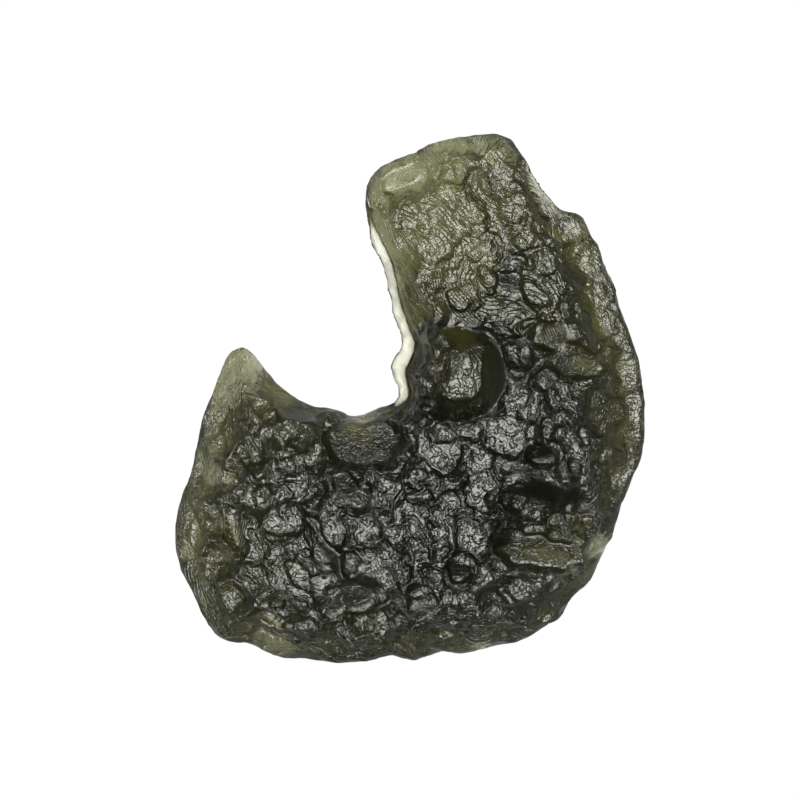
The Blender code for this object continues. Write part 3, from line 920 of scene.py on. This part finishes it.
def raise_layers(mesh):
    points, normals = points_of(mesh), normals_of(mesh)
    bend = FLOW_BEND * np.array([noise.noise(Vector(point) / FLOW_BEND_SIZE) for point in points])
    level = points @ np.array(FLOW_NORMAL) + bend
    steepness = 1 - normals[:, 2] ** 2
    amount = LEVEL_SHARE + (1 - LEVEL_SHARE) * steepness
    amount *= np.where(normals[:, 2] < 0, UNDERSIDE_SHARE, 1)
    smooth = smooth_share(points, normals)
    amount *= np.clip(upright / THICK_ENOUGH, 0, 1) * (1 - SMOOTH_LAYERS * smooth)
    relief = np.zeros(len(points))
    for spacing, height in LAYERS:
        relief += height * amount * (0.5 - np.abs(2 * (level / spacing % 1) - 1))
    set_points(mesh, points + normals * relief[:, None])


raise_layers(stone.data)
even_out(stone, rounding_passes=1)
print("etched:", len(stone.data.vertices), "points")

# %% [markdown]
# ## Fewer faces
#
# The finest skin has more faces than a reusable part should carry. The underside, which lies
# on the table, is thinned first and most. A Decimate modifier with a vertex group leaves all
# points outside the group as they are, so a second one, without a group, thins the whole stone.

# %% Thin out the mesh
MOST_TRIANGLES = 195000
UNDERSIDE_KEPT = 0.12  # the share of the underside's triangles that is left


def triangles_of(mesh):
    mesh.calc_loop_triangles()
    return len(mesh.loop_triangles)


def thin_out(obj, ratio, group=""):
    fewer = obj.modifiers.new("fewer_faces", "DECIMATE")
    fewer.ratio = ratio
    fewer.vertex_group = group
    obj.data = applied(obj)
    obj.modifiers.clear()
    print("thinned to", triangles_of(obj.data), "triangles")


facing_down = np.flatnonzero(normals_of(stone.data)[:, 2] < -FACES_UP)
underside = stone.vertex_groups.new(name="underside")
underside.add(facing_down.tolist(), 1.0, "REPLACE")
underside_share = len(facing_down) / len(stone.data.vertices)
print("before thinning", triangles_of(stone.data), "triangles")
thin_out(stone, 1 - underside_share * (1 - UNDERSIDE_KEPT), "underside")
thin_out(stone, MOST_TRIANGLES / triangles_of(stone.data))

# %% [markdown]
# ## Crumbs
#
# Remeshing leaves a few crumbs, of two faces or so, that float free of the stone. Walking from
# point to point along the edges finds each separate piece, and only the largest one is kept.

# %% Clear the crumbs away
def clear_crumbs(mesh):
    form = bmesh.new()
    form.from_mesh(mesh)
    unvisited = set(form.verts)
    pieces = []
    while unvisited:
        front, piece = [unvisited.pop()], []
        while front:
            point = front.pop()
            piece.append(point)
            for edge in point.link_edges:
                neighbour = edge.other_vert(point)
                if neighbour in unvisited:
                    unvisited.remove(neighbour)
                    front.append(neighbour)
        pieces.append(piece)
    crumbs = sorted(pieces, key=len)[:-1]
    bmesh.ops.delete(form, geom=[point for crumb in crumbs for point in crumb], context="VERTS")
    form.to_mesh(mesh)
    form.free()
    return len(crumbs)


print(clear_crumbs(stone.data), "crumbs cleared away")

# %% [markdown]
# ## Setting it down
#
# The stone rests on its lowest point. The layers may have raised a few points past the solid
# that it stands for, so they are drawn back into the solid's box.

# %% Rest on the table
points = points_of(stone.data)
points[:, 2] -= points[:, 2].min()
points = np.clip(points, np.array(cad_box[0]), np.array(cad_box[1]))
set_points(stone.data, points)
print("lowest point", points[:, 2].min(), "highest", round(points[:, 2].max() / MM, 2), "mm")

# %% [markdown]
# ## Where the skin is etched, lined and clear of painted shade
#
# The glass's finish changes over the stone, and three values at each point say how. "etched" is
# the strength of the fine crackle: most on level skin, less on the arm, next to none on the
# lip. "lined" is the strength of the layers' fine lines: most on the flanks, the horn, the arm
# and in the big bowl. "clear" says how little painted shade darkens the skin. The material reads
# them as attributes, which travel with the mesh.

# %% Paint the stone's points
BOWL_MIDDLE = from_pixel(455, 374)
BOWL_REACH_MM = 3.2
MOST_LINED = 2.6
LEAST_LINED = 0.2


def paint(name, values):
    layer = stone.data.attributes.new(name, "FLOAT", "POINT")
    layer.data.foreach_set("value", values.astype(np.float32))
    print(name, "from", round(float(values.min()), 2), "to", round(float(values.max()), 2))


points, normals = points_of(stone.data), normals_of(stone.data)
smooth = smooth_share(points, normals)
off_lip = np.clip(lip_thickness(points[:, :2]) / MM - 0.5, 0.1, 1)
on_level = np.clip((normals[:, 2] - 0.80) / 0.14, 0.45, 1)
on_arm = np.clip((points[:, 1] - 1.5 * MM) / (2.0 * MM), 0, 1) * (points[:, 0] > ARM_LEFT)
on_horn = np.clip((points[:, 1] + 1.0 * MM) / (1.5 * MM), 0, 1) * (points[:, 0] < -7 * MM)
on_flank = np.clip(2.6 - 2.4 * np.abs(normals[:, 2]), 0, 1)
from_bowl = np.hypot(points[:, 0] - BOWL_MIDDLE[0], points[:, 1] - BOWL_MIDDLE[1])
in_bowl = np.clip(BOWL_REACH_MM - from_bowl / MM, 0, 1)

paint("etched", off_lip * on_level * (1 - 0.45 * on_arm) * (1 - 0.35 * smooth))
lining = np.clip(on_arm + 2.6 * on_flank + in_bowl + 1.5 * on_horn, LEAST_LINED, MOST_LINED)
paint("lined", off_lip * lining * (1 - 0.8 * smooth))
# the "clear" value is the lack of painted shade
paint("clear", 1.1 - painted_shade_share(points, normals))

# %% [markdown]
# ## The glass
#
# Real moldavite absorbs red and blue more than green, so its colour comes from depth: a volume
# that absorbs, under a surface that lets all light through. The material is built node by node,
# in millimetres of the stone's own space, so that its patterns run through the whole lump.

# %% Start the glass
GLASS_IOR = 1.49
ABSORPTION_COLOR = (0.335, 0.35, 0.0, 1.0)
ABSORPTION_DENSITY = 950.0

glass = bpy.data.materials.new("moldavite_glass")
glass.use_nodes = True
tree = glass.node_tree
shader = tree.nodes["Principled BSDF"]
shader.inputs["Transmission Weight"].default_value = 1.0
shader.inputs["IOR"].default_value = GLASS_IOR
shader.inputs["Metallic"].default_value = 0.0


def add(kind, **settings):
    node = tree.nodes.new("ShaderNode" + kind)
    for name, value in settings.items():
        setattr(node, name, value)
    return node


def math_node(operation, first, second=None):
    node = add("Math", operation=operation)
    for socket, value in zip(node.inputs, (first, second)):
        if isinstance(value, (int, float)):
            socket.default_value = value
        elif value is not None:
            tree.links.new(value, socket)
    return node.outputs[0]


absorption = add("VolumeAbsorption")
absorption.inputs["Color"].default_value = ABSORPTION_COLOR
absorption.inputs["Density"].default_value = ABSORPTION_DENSITY
tree.links.new(absorption.outputs[0], tree.nodes["Material Output"].inputs["Volume"])

where = add("TexCoord")
in_mm = add("Mapping")
in_mm.inputs["Scale"].default_value = (1000, 1000, 1000)
tree.links.new(where.outputs["Object"], in_mm.inputs["Vector"])


def noise_node(scale, detail, roughness=0.5, distortion=0.0):
    """Smooth noise with so many bumps to the millimetre."""
    node = add("TexNoise")
    node.inputs["Scale"].default_value = scale
    node.inputs["Detail"].default_value = detail
    node.inputs["Roughness"].default_value = roughness
    node.inputs["Distortion"].default_value = distortion
    tree.links.new(in_mm.outputs["Vector"], node.inputs["Vector"])
    return node.outputs[0]


print("glass with an index of refraction of", GLASS_IOR)

# %% [markdown]
# ## Fine lines of the layers
#
# The layers that make the terraces also have much finer ones between them. They are drawn in
# space, as sheets that go up and down along the direction across the layers, bent by wide
# noise. Where the skin cuts them they show as lines, which other noise breaks up.

# %% Draw the lines
LINE_SPACING_MM = 0.19
LINE_DEPTH_MM = 0.035
LINE_BEND_MM = 4.0
LINE_BREAKS = (0.42, 0.52)  # no lines where the noise is below, whole ones where it is above

bend = math_node("MULTIPLY", noise_node(0.2, 1.0), LINE_BEND_MM)
across = add("VectorMath", operation="DOT_PRODUCT")
across.inputs[1].default_value = FLOW_NORMAL
tree.links.new(in_mm.outputs["Vector"], across.inputs[0])
level = math_node("ADD", across.outputs["Value"], bend)
between_lines = math_node("PINGPONG", level, LINE_SPACING_MM / 2)
whole = add("MapRange")
whole.inputs["From Min"].default_value, whole.inputs["From Max"].default_value = LINE_BREAKS
tree.links.new(noise_node(1.3, 1.0), whole.inputs["Value"])
lines = math_node("MINIMUM", between_lines, LINE_DEPTH_MM)
lines = math_node("MULTIPLY", lines, whole.outputs[0])
lined = add("Attribute", attribute_name="lined")
lines = math_node("MULTIPLY", lines, lined.outputs["Fac"])
print("lines", LINE_SPACING_MM, "mm apart")

# %% [markdown]
# ## Crackle
#
# The grey bottoms of the hollows are covered with curly creases. Noise passes through its
# middle value along just such curls, so a crease is cut where the noise is close to it. Coarse
# and fine creases are added up, and with the lines they make the relief of the skin.

# %% Cut the creases
COARSE_CREASE = (2.1, 1.0, 0.6, 0.045, 0.8)  # scale, detail, distortion, width, strength
FINE_CREASE = (4.6, 0.0, 0.0, 0.05, 0.4)
LINES_STRENGTH = 0.6


def crease(scale, detail, distortion, width, strength):
    off_middle = math_node("SUBTRACT", noise_node(scale, detail, distortion=distortion), 0.5)
    valley = math_node("MINIMUM", math_node("ABSOLUTE", off_middle), width)
    return math_node("MULTIPLY", valley, strength)


creases = math_node("ADD", crease(*COARSE_CREASE), crease(*FINE_CREASE))
etched = add("Attribute", attribute_name="etched")
creases = math_node("MULTIPLY", creases, etched.outputs["Fac"])
relief = math_node("ADD", math_node("MULTIPLY", lines, LINES_STRENGTH), creases)
bump = add("Bump")
bump.inputs["Strength"].default_value = 1.0
bump.inputs["Distance"].default_value = 1.0 * MM
tree.links.new(relief, bump.inputs["Height"])
tree.links.new(bump.outputs["Normal"], shader.inputs["Normal"])
print("creases cut")

# %% [markdown]
# ## Gloss, tint and painted shade
#
# Etched glass is a little dull, and more so in some patches than in others. The tint runs from
# a dark olive, painted shade where the stone's "clear" value is low, to nearly white. The same
# patches make it a little uneven.

# %% Dull the skin, tint it and paint its shade
LEAST_ROUGH, MOST_ROUGH = 0.27, 0.33
# the dark olive of the painted shade, and the tint where there is none
PAINTED_SHADE_TINT = (0.16, 0.18, 0.10, 1)
CLEAR_TINT = (1.0, 1.0, 0.86, 1)
TINT_UNEVENNESS = 0.3

patches = noise_node(0.6, 3.0)
roughness = add("MapRange")
roughness.inputs["From Min"].default_value = 0.3
roughness.inputs["From Max"].default_value = 0.7
roughness.inputs["To Min"].default_value = LEAST_ROUGH
roughness.inputs["To Max"].default_value = MOST_ROUGH
tree.links.new(patches, roughness.inputs["Value"])
tree.links.new(roughness.outputs[0], shader.inputs["Roughness"])

clear = add("Attribute", attribute_name="clear")
# the "clear" value, less some random patches, sets how little painted shade the tint carries
unshaded_share = math_node("SUBTRACT", clear.outputs["Fac"],
                      math_node("MULTIPLY", patches, TINT_UNEVENNESS))
tint = add("Mix", data_type="RGBA")
tint.inputs["A"].default_value = PAINTED_SHADE_TINT
tint.inputs["B"].default_value = CLEAR_TINT
tree.links.new(unshaded_share, tint.inputs["Factor"])
tree.links.new(tint.outputs["Result"], shader.inputs["Base Color"])

stone.data.materials.clear()
stone.data.materials.append(glass)
stone.data.shade_smooth()
print("glass made with", len(tree.nodes), "nodes")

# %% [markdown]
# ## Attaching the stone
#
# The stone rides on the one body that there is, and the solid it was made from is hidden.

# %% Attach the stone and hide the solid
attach(stone, "root")
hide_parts("moldavite")
print("faces", len(stone.data.polygons))
